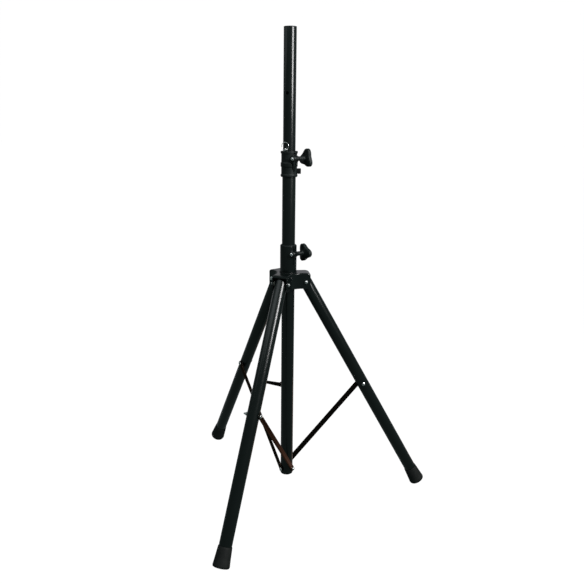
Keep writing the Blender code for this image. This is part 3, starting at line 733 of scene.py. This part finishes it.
def make_collar():
    """Moulded collar on the mast's top end, with three rings and a split clamp."""
    low, high = heights("mast_collar")
    wide, body = 0.0240, 0.0222
    mast_r = measure("mast_tube", MAST, UP)[2] + GAP
    pole_r = measure("upper_tube", MAST, UP)[2] + GAP
    shoulder = heights("mast_tube")[1] + GAP
    profile = [(wide, high, 0.0007), (wide, high - 0.0060, 0.0005), (body, high - 0.0070, 0.0008),
               (body, low + 0.0412, 0.0030), (wide, low + 0.0385, 0.0020),
               (wide, low + 0.0295, 0.0020), (body, low + 0.0268, 0.0030),
               (body, low + 0.0082, 0.0020), (wide, low + 0.0060, 0.0012),
               (wide, low + 0.0025, 0.0012), (body, low, 0.0006), (mast_r, low), (mast_r, shoulder),
               (pole_r, shoulder), (pole_r, high, 0.0004)]
    mesh = split_clamp(rounded(profile, closed=True, steps=3), "upper_knob_turn", body - 0.0012,
                       mast_r, 0.0080, 0.0075, -0.0355, low - 0.01, high + 0.02, thin=0.0020)
    inner = rod(mast_r, shoulder - low + 0.01, FINE)
    upper = rod(pole_r, 0.05, FINE)
    mesh = combined(mesh, [
        cut(inner, Matrix.Translation((0, 0, low - 0.01))),
        cut(upper, Matrix.Translation((0, 0, high - 0.03))),
        cut(rod(BOLT_HOLE, 0.04), MAST_FRAME.inverted() @ set_screw_frame()),
    ])
    piece("mast_collar", bevelled(mesh, 0.0004, 2, 50), MAST_FRAME, PLASTIC, 38)


def set_screw_frame():
    """+Z runs outwards from the mast's axis through the set screw."""
    centre = middle("collar_set_screw")
    return axis_frame(MAST + UP * centre.z, outward(centre))


def make_set_screw():
    """Knurled cap screw with a hexagon socket; its tip stays clear of the pole."""
    place = set_screw_frame()
    _, end, radius = measure("collar_set_screw", place.translation, place.to_3x3().col[2])
    face, tip = end - 0.0118, end - 0.0140
    shank, knurl = 0.0030, 0.0004
    bm = bmesh.new()
    profile = [(0, end), (0.0050, end, 0.0003), (radius - 0.0006, end, 0.0005),
               (radius, end - 0.0012, 0.0004), (radius, face + 0.0006, 0.0003),
               (radius - 0.0004, face), (shank, face), (shank, tip), (0, tip)]
    for ring in lathe(bm, rounded(profile, steps=3), KNOB_SIDES):
        for vertex in ring[::3]:
            reach = vertex.co.to_2d().length
            if reach > radius - 0.0003:
                vertex.co.x *= 1 - knurl / reach
                vertex.co.y *= 1 - knurl / reach
    socket = hex_prism(0.0035, end - 0.0040, end + 0.002)
    mesh = combined(mesh_from(bm, "screw"), [cut(socket, Matrix())])
    piece("collar_set_screw", mesh, place, BLACK_STEEL, 28)


def make_sleeve():
    """Hub sleeve: a steel tube with a split clamp at its upper end."""
    low, high = heights("hub_sleeve")
    outer, edge = 0.0240, 0.0004
    inner = outer - 0.0021
    profile = [(outer, high, edge), (outer, low, edge), (inner, low, edge), (inner, high, edge)]
    slit_low = joint_point("lower_knob_turn").z - SLIT_DEPTH
    mesh = split_clamp(rounded(profile, closed=True, steps=3), "lower_knob_turn", inner + 0.0006,
                       inner, 0.0080, 0.0080, -0.0120, slit_low, high + 0.01)
    piece("hub_sleeve", bevelled(mesh, 0.0004, 2, 50), MAST_FRAME, PAINT, 38)


def make_bush():
    """Plastic bush inside the sleeve, with a lip over its end."""
    low, high = heights("hub_bush")
    sleeve_top = heights("hub_sleeve")[1] + GAP
    outer, lip, bore = 0.0216, 0.0236, 0.0193
    profile = [(bore + 0.0016, high, 0.0006), (lip, sleeve_top + 0.0004, 0.0003), (lip, sleeve_top),
               (outer, sleeve_top), (outer, low), (bore, low), (bore, high, 0.0004)]
    mesh = lathe_mesh("bush", rounded(profile, closed=True, steps=4), FINE, closed=True)
    slit_low = joint_point("lower_knob_turn").z - SLIT_DEPTH
    slit = block((0, -SLIT / 2, slit_low), (0.05, SLIT / 2, high + 0.01))
    piece("hub_bush", combined(mesh, [cut(slit, CLAMP_TURN)]), MAST_FRAME, PLASTIC, 38)


# ---- clamp knobs
def smooth(value):
    """Eases from 0 to 1."""
    value = max(0.0, min(1.0, value))
    return value * value * (3 - 2 * value)


def knob_section(height, length):
    """Mean radius and lobe depth of the three-lobed knob at a height from its shaft's end."""
    shaft, lobe = 0.0063, 0.0225
    flare = smooth((height - (length - 0.0160)) / 0.0062)
    radius = shaft + (lobe - shaft) * flare ** 1.2
    depth = 0.22 * smooth((height - (length - 0.0150)) / 0.0055)
    return radius, depth


def lobed_ring(bm, radius, depth, height):
    """A ring with three lobes, a little flatter between them than a cosine."""
    waves = [math.cos(3 * 2 * math.pi * i / KNOB_SIDES) for i in range(KNOB_SIDES)]
    radii = [radius * (1 + depth * (wave + 0.12 * (wave * wave - 0.5))) for wave in waves]
    return ring_at(bm, radii, height)


def knob_mesh(length):
    """Round shaft, flared back, rounded rim and a dished face with a centre cap."""
    steps, edge = 44, 0.0024
    start, rim = 0.0055, length - edge
    bm = bmesh.new()
    rings = []
    shaft_bead = [(0.0, 0.0056), (0.0003, 0.0061), (0.0010, 0.0064), (0.0040, 0.0064), (0.0046, 0.0061)]
    for height, radius in shaft_bead:
        rings.append(lobed_ring(bm, radius, 0.0, height))
    for step in range(steps + 1):
        height = start + (rim - start) * step / steps
        radius, depth = knob_section(height, length)
        rings.append(lobed_ring(bm, radius, depth, height))
    radius, depth = knob_section(length, length)
    for step in range(1, 7):
        angle = math.radians(90 * step / 6)
        inset = edge * (1 - math.cos(angle))
        rings.append(lobed_ring(bm, radius - inset, depth, rim + edge * math.sin(angle)))
    face = [(0.0036, 0.0000), (0.0050, 0.0003), (0.0066, 0.0010), (0.0096, 0.0014)]
    for inset, sink in face:
        shrunk = depth * (1 - inset / 0.016)
        rings.append(lobed_ring(bm, radius - edge - inset, shrunk, length - sink))
    cap = [(0.0078, 0.0016), (0.0072, 0.0016), (0.0068, 0.0010), (0.0064, 0.0007),
           (0.0040, 0.0004), (0.0015, 0.0003)]
    for reach, sink in cap:
        rings.append(lobed_ring(bm, reach, 0.0, length - sink))
    bridge(bm, rings)
    return mesh_from(bm, "knob")


def make_knob(prefix):
    """Knob, threaded stud, washer and captive nut of one clamp, all on its bolt's axis."""
    joint = f"{prefix}_knob_turn"
    origin = joint_point(joint)
    knob, stud = f"{prefix}_knob", f"{prefix}_clamp_stud"
    low, high, _ = measure(knob, origin, CLAMP_AXIS)
    lobe = max(frame["nodes"][knob].data.vertices,
               key=lambda v: ((v.co - origin) - CLAMP_AXIS * (v.co - origin).dot(CLAMP_AXIS)).length)
    place = axis_frame(origin + CLAMP_AXIS * low, CLAMP_AXIS, lobe.co - origin)
    bore = cut(rod(0.0033, 0.0280), Matrix.Translation((0, 0, -0.01)))
    bored = combined(knob_mesh(high - low), [bore])
    piece(knob, bored, place, PLASTIC, 40)
    low, high, radius = measure(stud, origin, CLAMP_AXIS)
    bm = bmesh.new()
    threads(bm, radius, 0, high - low)
    piece(stud, mesh_from(bm, "stud"), axis_frame(origin + CLAMP_AXIS * low, CLAMP_AXIS), ZINC, 60)
    place_washer(f"{prefix}_clamp_washer", origin, CLAMP_AXIS, BLACK_STEEL)
    place_nut(f"{prefix}_clamp_nut", origin, CLAMP_AXIS, 0.0032)


# ---- pole and locking pin
def make_pole():
    """The sliding pole, drilled through for the locking pin at several heights."""
    low, high, radius = measure("upper_tube", MAST, UP)
    mesh = tube_mesh(radius, POLE_WALL, low, high)
    pin, drill = pin_frame(), rod(0.0045, 0.06)
    cuts = [cut(drill, MAST_FRAME.inverted() @ Matrix.Translation((0, 0, step * HOLE_PITCH))
             @ pin @ Matrix.Translation((0, 0, -0.03))) for step in range(-3, 2)]
    piece("upper_tube", bevelled(combined(mesh, cuts), 0.0002, 1, 60), MAST_FRAME, PAINT_RUBBED, 38)


def make_pole_ends():
    """The cap on the pole's top end and the guide in its lower end."""
    low, high, radius = measure("upper_tube_cap", MAST, UP)
    rim, plug = high - 0.0017, radius - 0.0017
    profile = [(0, high - 0.0006), (0.0040, high - 0.0006, 0.0003), (0.0046, high - 0.0010, 0.0003),
               (radius - 0.0050, high - 0.0010, 0.0004), (radius - 0.0042, high, 0.0004),
               (radius, high, 0.0008), (radius, rim), (plug, rim), (plug, low + 0.0012, 0.0004),
               (plug - 0.0008, low, 0.0004), (0, low)]
    piece("upper_tube_cap", lathe_mesh("cap", rounded(profile), FINE), MAST_FRAME, PLASTIC)
    low, high, radius = measure("upper_tube_guide", MAST, UP)
    rim, plug = low + 0.0027, radius - 0.0017
    profile = [(0, high), (plug - 0.0010, high, 0.0004), (plug, high - 0.0016), (plug, rim),
               (radius, rim, 0.0002), (radius, low, 0.0008), (0, low)]
    piece("upper_tube_guide", lathe_mesh("guide", rounded(profile), MEDIUM), MAST_FRAME, PLASTIC)


def pin_frame():
    """+Z along the pin, pointing away from the pole on the side of the pull ring."""
    centre = middle("locking_pin")
    origin = Vector((MAST.x, MAST.y, centre.z))
    return axis_frame(origin, joint_axis("pin_pull"), UP)


def make_pin():
    """Zinc locking pin with a flange, a tapered nose and an eye for the pull ring."""
    place = pin_frame()
    low, high, _ = measure("locking_pin", place.translation, place.to_3x3().col[2])
    profile = [(0, high), (0.0034, high, 0.0010), (0.0034, 0.0214, 0.0003), (0.0043, 0.0208, 0.0003),
               (0.0043, 0.0180, 0.0003), (0.0038, 0.0180), (0.0038, low + 0.0020, 0.0006),
               (0.0027, low, 0.0004), (0, low)]
    eye = Vector((MAST.x, middle("pin_ring").y, place.translation.z))
    across = axis_frame(eye, Vector((1, 0, 0))) @ Matrix.Translation((0, 0, -0.01))
    mesh = combined(lathe_mesh("pin", rounded(profile, steps=3), SMALL),
                    [cut(rod(0.0016, 0.02), place.inverted() @ across)])
    piece("locking_pin", bevelled(mesh, 0.00015, 2, 60), place, ZINC, 40)


def make_pull_ring():
    """Split ring: two turns of wire pressed together, each with a cut end."""
    low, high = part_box("pin_ring")
    centre = (low + high) / 2
    radius, half = (high.z - low.z) / 2, (high.y - low.y) / 2
    wire = half * 0.52
    major = radius - wire * 1.35
    turns, steps, sides = 1.86, 150, 14
    bm = bmesh.new()
    rings = []
    for step in range(steps + 1):
        angle = 2 * math.pi * turns * step / steps + math.radians(200)
        shift = (smooth((step / steps - 0.42) / 0.16) - 0.5) * 2 * wire * 0.96
        along = Vector((math.cos(angle), math.sin(angle), 0))
        ring = []
        for i in range(sides):
            around = 2 * math.pi * i / sides
            flat = 1.35 * math.cos(around)
            ring.append(bm.verts.new(along * (major + wire * flat)
                                     + Vector((0, 0, shift + wire * 0.94 * math.sin(around)))))
        rings.append(ring)
    bridge(bm, rings)
    place = axis_frame(centre, Vector((0, -1, 0)), Vector((1, 0, 0)))
    piece("pin_ring", mesh_from(bm, "ring"), place, ZINC, 50)


# ---- hub bracket
ARM_HALF = 0.0235          # half the width of an arm
ARC_R = 0.0400             # concave side between two arms
DROOP = 0.0050             # the arms curve down by this much at their ends
DROOP_SPAN = (0.0445, 0.0641)    # from the mast's axis, where the curve starts and ends
DROOP_STEPS = 9


def bracket_plan(offset, reach):
    """Plan of the three arms, shrunk by an offset on every side and with arms of a reach."""
    half = math.radians(60)
    centre_r = (ARM_HALF + ARC_R) / math.sin(half)
    points = []
    for step in range(3):
        azimuth = math.degrees(CLAMP_ANGLE) + 120 * step
        turn = math.radians(azimuth)
        centre = (centre_r * math.cos(turn), centre_r * math.sin(turn))
        for side, direction in ((1, turn - half), (-1, turn + half)):
            along = Vector((math.cos(direction), math.sin(direction)))
            across = Vector((-math.sin(direction), math.cos(direction)))
            points.append(tuple(along * reach + across * side * (ARM_HALF - offset)))
            if side == 1:
                points.extend(arc(centre, ARC_R + offset, azimuth + 210, azimuth + 150, 24))
    return points


def arm_directions():
    return [outward(leg_data(number)[0]) for number in (1, 2, 3)]


def droop_at(along):
    """How far an arm has come down at a distance from the mast's axis, on straight stretches."""
    start, end = DROOP_SPAN
    place = max(0.0, (along - start) / (end - start)) * DROOP_STEPS
    step = min(int(place), DROOP_STEPS - 1)
    low, high = (DROOP * (k / DROOP_STEPS) ** 3.5 for k in (step, step + 1))
    return low + (high - low) * (place - step)


def bend_arms(mesh, low, high):
    """Curves the three arms' upper sides down; heights below low stay where they are."""
    start, end = DROOP_SPAN
    bm = bmesh.new()
    bm.from_mesh(mesh)
    for out in arm_directions():
        for step in range(DROOP_STEPS):
            knot = start + (end - start) * step / DROOP_STEPS
            geometry = [*bm.verts, *bm.edges, *bm.faces]
            bmesh.ops.bisect_plane(bm, geom=geometry, plane_co=out * knot, plane_no=out, dist=1e-7)
        for vertex in bm.verts:
            share = min(1.0, max(0.0, (vertex.co.z - low) / (high - low)))
            vertex.co.z -= droop_at(vertex.co.dot(out)) * share
    bmesh.ops.triangulate(bm, faces=bm.faces)
    return mesh_from(bm, "bent")


def bent_block(offset, reach, low, high, radius, segments):
    """The plan extruded between two heights, with its upper edge rounded along the concave sides."""
    mesh = sheet_mesh("bent", [bracket_plan(offset, reach)], high - low)
    mesh.transform(Matrix.Translation((0, 0, (low + high) / 2)))
    bm = bmesh.new()
    bm.from_mesh(mesh)
    inside = [edge for edge in bm.edges if all(face.normal.z > 0.9 for face in edge.link_faces)]
    bmesh.ops.dissolve_edges(bm, edges=inside, use_verts=False)
    ends = arm_directions()
    edges = [edge for edge in bm.edges
             if all(abs(v.co.z - high) < 1e-6 for v in edge.verts)
             and any(abs(f.normal.z) < 0.1 for f in edge.link_faces)
             and not any(all(v.co.dot(out) > reach - 1e-5 for v in edge.verts) for out in ends)]
    bmesh.ops.bevel(bm, geom=edges, offset=radius, segments=segments, profile=0.5,
                    affect="EDGES", clamp_overlap=True)
    return mesh_from(bm, "bent")


def make_bracket():
    """Pressed bracket: a plate bent down along its three concave sides into skirts."""
    low, high = heights("hub_bracket")
    corner = reach_of("hub_bracket")
    end = math.sqrt(corner * corner - ARM_HALF * ARM_HALF)
    bend, skin = 0.0034, 0.0004
    outer = bend_arms(bent_block(skin, end, low, high, bend, 6), low, high)
    hollow = bent_block(SHEET, end + 0.04, low - 0.01, high - SHEET, bend - SHEET + skin, 3)
    hollow = bend_arms(hollow, low, high)
    steps = [cut(hollow, Matrix()),
             cut(rod(0.0243, 0.05, FINE), Matrix.Translation((0, 0, high - 0.03)))]
    for number in (1, 2, 3):
        pivot, _, side, _ = leg_data(number)
        drill = axis_frame(pivot - side * 0.04, side)
        steps.append(cut(rod(BOLT_HOLE, 0.08), MAST_FRAME.inverted() @ drill))
    mesh = bevelled(combined(outer, steps), 0.0003, 2, 60)
    bracket = piece("hub_bracket", mesh, MAST_FRAME, PAINT, 30)
    bracket.modifiers.new("normals", "WEIGHTED_NORMAL").keep_sharp = True


def make_hub_weld():
    """Weld bead between the sleeve and the bracket's plate, under the same paint."""
    plate = heights("hub_bracket")[1]
    middle_r, bead = 0.0238, 0.0017
    sides, around = 220, 10
    bm = bmesh.new()
    rings = []
    for i in range(sides):
        angle = 2 * math.pi * i / sides
        ripple = 1 + 0.10 * math.sin(angle * 46) + 0.06 * math.sin(angle * 7 + 1.0)
        ring = []
        for k in range(around):
            turn = 2 * math.pi * k / around
            reach = middle_r + bead * ripple * (0.45 + math.cos(turn) * 0.55)
            rise = 0.0016 * ripple * (0.45 + math.sin(turn) * 0.55)
            ring.append(bm.verts.new((reach * math.cos(angle), reach * math.sin(angle),
                                      plate - 0.0002 + rise)))
        rings.append(ring)
    bridge(bm, rings, closed=True)
    show("hub_weld", mesh_from(bm, "weld"), MAST_FRAME, PAINT, "hub", angle=60)


# ---- legs and braces
def across_leg(height):
    """Lays a drill along the leg frame's +Y at a height on the tube."""
    return Matrix.Translation((0, -0.03, height)) @ Matrix.Rotation(-math.pi / 2, 4, "X")


def make_leg(number):
    """Leg tube, its plug, and the bolts, nuts, spacers and washer at its pivot and its brace."""
    pivot, pin, side, place = leg_data(number)
    along = place.to_3x3().col[2]
    name = f"leg_{number}"
    low, high, radius = measure(name, pivot, along)
    tube = tube_mesh(radius, LEG_WALL, low, high, LEG_SIDES)
    drill = rod(BOLT_HOLE, 0.06)
    holes = [cut(drill, across_leg(height)) for height in (0.0, -(pivot - pin).length)]
    piece(name, combined(tube, holes), place, PAINT, 38)

    plug = f"leg_plug_{number}"
    low, high, radius = measure(plug, pivot, along)
    profile = [(0, high - 0.0010), (radius - 0.0040, high - 0.0010, 0.0004),
               (radius - 0.0034, high, 0.0003), (radius, high, 0.0005), (radius, low, 0.0010), (0, low)]
    mesh = combined(lathe_mesh("plug", rounded(profile), MEDIUM), holes[:1])
    piece(plug, mesh, place, PLASTIC, 38)

    place_bolt(f"pivot_bolt_{number}", pivot, side)
    place_nut(f"pivot_nut_{number}", pivot, side)
    place_bolt(f"leg_bolt_{number}", pin, side)
    place_nut(f"leg_nut_{number}", pin, side)
    place_washer(f"leg_spacer_left_{number}", pivot, side, NYLON)
    place_washer(f"leg_spacer_right_{number}", pivot, side, NYLON)
    place_washer(f"brace_washer_{number}", pin, side, NYLON)


def make_foot(number):
    """Moulded boot that flares smoothly to a grooved sole, worn flat on the floor."""
    pivot, _, _, place = leg_data(number)
    along = place.to_3x3().col[2]
    name = f"foot_{number}"
    sole, top, radius = measure(name, pivot, along)
    bore = measure(f"leg_{number}", pivot, along)[2] + GAP
    profile = [(0, sole + 0.0060), (bore, sole + 0.0060), (bore, top, 0.0003),
               (bore + 0.0010, top, 0.0005), (bore + 0.0017, top - 0.0080, 0.0060),
               (0.0224, sole + 0.0150, 0.0060),
               (radius, sole + 0.0055, 0.0030), (radius - 0.0008, sole + 0.0014, 0.0016),
                (radius - 0.0032, sole, 0.0012), (0.0150, sole, 0.0004), (0.0146, sole + 0.0008, 0.0003),
                (0.0128, sole + 0.0008, 0.0003), (0.0124, sole, 0.0004), (0.0080, sole, 0.0004),
                (0.0076, sole + 0.0008, 0.0003), (0.0058, sole + 0.0008, 0.0003),
                (0.0054, sole, 0.0004), (0, sole)]
    mesh = lathe_mesh("boot", rounded(profile, steps=3), LEG_SIDES)
    mesh.transform(place)
    floor = block((-1, -1, -0.2), (1, 1, 0.0))
    piece(name, combined(mesh, [cut(floor, Matrix())]), Matrix(), RUBBER, 40)


def make_brace(number):
    """Flat steel strip with round ends, from the leg's bolt to the mast's foot."""
    _, pin, side, _ = leg_data(number)
    name = f"brace_{number}"
    foot = MAST + UP * middle(f"brace_bolt_{number}").z
    along = (pin - foot).normalized()
    length = (pin - foot).length
    place = axis_frame(pin, along, side.cross(along))
    low, high, _ = measure(name, pin, side)
    radius = 0.0080
    outline = arc((0, 0), radius, 0, 180, 24) + arc((0, -length), radius, 180, 360, 24)
    holes = [circle(BOLT_HOLE, 32, (0, y)) for y in (0, -length)]
    mesh = bevelled(sheet_mesh("strip", [outline, *holes], high - low), 0.0004, 3, 50)
    mesh.transform(Matrix.Rotation(math.pi / 2, 4, "X"))
    piece(name, mesh, place @ Matrix.Translation((0, (low + high) / 2, 0)), PAINT_BROWN_REFLECTION, 30)
    place_bolt(f"brace_bolt_{number}", foot, side)


# ---- the object
make_mast_tube()
make_mast_plug()
make_mast_tab()
make_collar()
make_set_screw()
make_sleeve()
make_bush()
make_bracket()
make_hub_weld()
make_pole()
make_pole_ends()
make_pin()
make_pull_ring()
for clamp in ("upper", "lower"):
    make_knob(clamp)
for leg in (1, 2, 3):
    make_leg(leg)
    make_foot(leg)
    make_brace(leg)


# ---- camera
CAMERA_AZIMUTH = math.radians(23.405)
CAMERA_DISTANCE = 1.8893          # from the mast's axis
CAMERA_HEIGHT = 1.16734
CAMERA_TILT = math.radians(74.800)
CAMERA_ROLL = math.radians(-0.561)
CAMERA_PAN = math.radians(23.204)

camera = bpy.data.cameras.new("camera")
camera.lens = 40.965
camera.sensor_width = 36.0
camera_object = linked("camera", camera)
camera_object.location = (MAST.x + CAMERA_DISTANCE * math.sin(CAMERA_AZIMUTH),
                          MAST.y - CAMERA_DISTANCE * math.cos(CAMERA_AZIMUTH), CAMERA_HEIGHT)
camera_object.rotation_euler = (CAMERA_TILT, CAMERA_ROLL, CAMERA_PAN)
bpy.context.scene.camera = camera_object


# ---- studio
def softbox(name, azimuth, distance, height, width, tall, power, aim, colour=(1, 1, 1)):
    """A rectangular light standing at an azimuth round the mast, facing it at the height aim."""
    light = bpy.data.lights.new(name, "AREA")
    light.shape = "RECTANGLE"
    light.size = width
    light.size_y = tall
    light.energy = power
    light.color = colour
    obj = linked(name, light)
    turn = math.radians(azimuth)
    obj.location = (MAST.x + distance * math.sin(turn), MAST.y - distance * math.cos(turn), height)
    target = MAST + UP * aim
    obj.rotation_euler = (target - obj.location).to_track_quat("-Z", "Y").to_euler()


def make_world():
    """Dim surroundings that grow brighter towards the white sweep behind the stand."""
    world = bpy.data.worlds.new("studio")
    bpy.context.scene.world = world
    world.use_nodes = True
    nodes, links = world.node_tree.nodes, world.node_tree.links
    direction = nodes.new("ShaderNodeTexCoord").outputs["Generated"]
    towards = nodes.new("ShaderNodeVectorMath")
    towards.operation = "DOT_PRODUCT"
    towards.inputs[1].default_value = (-math.sin(CAMERA_AZIMUTH), math.cos(CAMERA_AZIMUTH), 0)
    links.new(direction, towards.inputs[0])
    sweep = ramp(nodes, links, towards.outputs["Value"],
                 [(0.60, (0.092, 0.124, 0.118)), (0.97, (0.44, 0.44, 0.46))])
    links.new(sweep, nodes["Background"].inputs["Color"])


def make_studio():
    """A tall key on the right, broad soft lights above and left, and a warm glow from below."""
    cool, warm = (0.90, 0.98, 1.0), (1.0, 0.55, 0.35)
    softbox("key", azimuth=76, distance=1.9, height=2.25, width=0.55, tall=1.6, power=74, aim=1.35)
    softbox("top", azimuth=-22, distance=1.5, height=2.9, width=2.2, tall=1.6, power=11, aim=0.8,
            colour=cool)
    softbox("fill", azimuth=-58, distance=2.2, height=2.35, width=1.9, tall=1.4, power=3.7, aim=1.3,
            colour=cool)
    softbox("glow", azimuth=160, distance=1.8, height=-0.80, width=1.0, tall=0.7, power=0.7, aim=0.1,
            colour=warm)


def make_floor():
    """A pale floor and a white dome, seen only by the camera and lit by their own light."""
    radius = 24
    bm = bmesh.new()
    bm.faces.new([bm.verts.new((x, y, 0)) for x, y in circle(radius, FINE)])
    floor = linked("floor", mesh_from(bm, "floor"))
    dome = linked("dome", lathe_mesh("dome", arc((0, 0), radius, -90, 90, 32), MEDIUM))
    for obj, look in ((floor, floor_surface("floor_pale")), (dome, dome_surface("dome_white"))):
        obj.data.materials.append(look)
        obj.visible_diffuse = False
        obj.visible_glossy = False
        obj.visible_shadow = False
        obj.visible_transmission = False


make_world()
make_studio()
make_floor()
bpy.context.scene.view_settings.view_transform = "Standard"
bpy.context.scene.view_settings.look = "None"
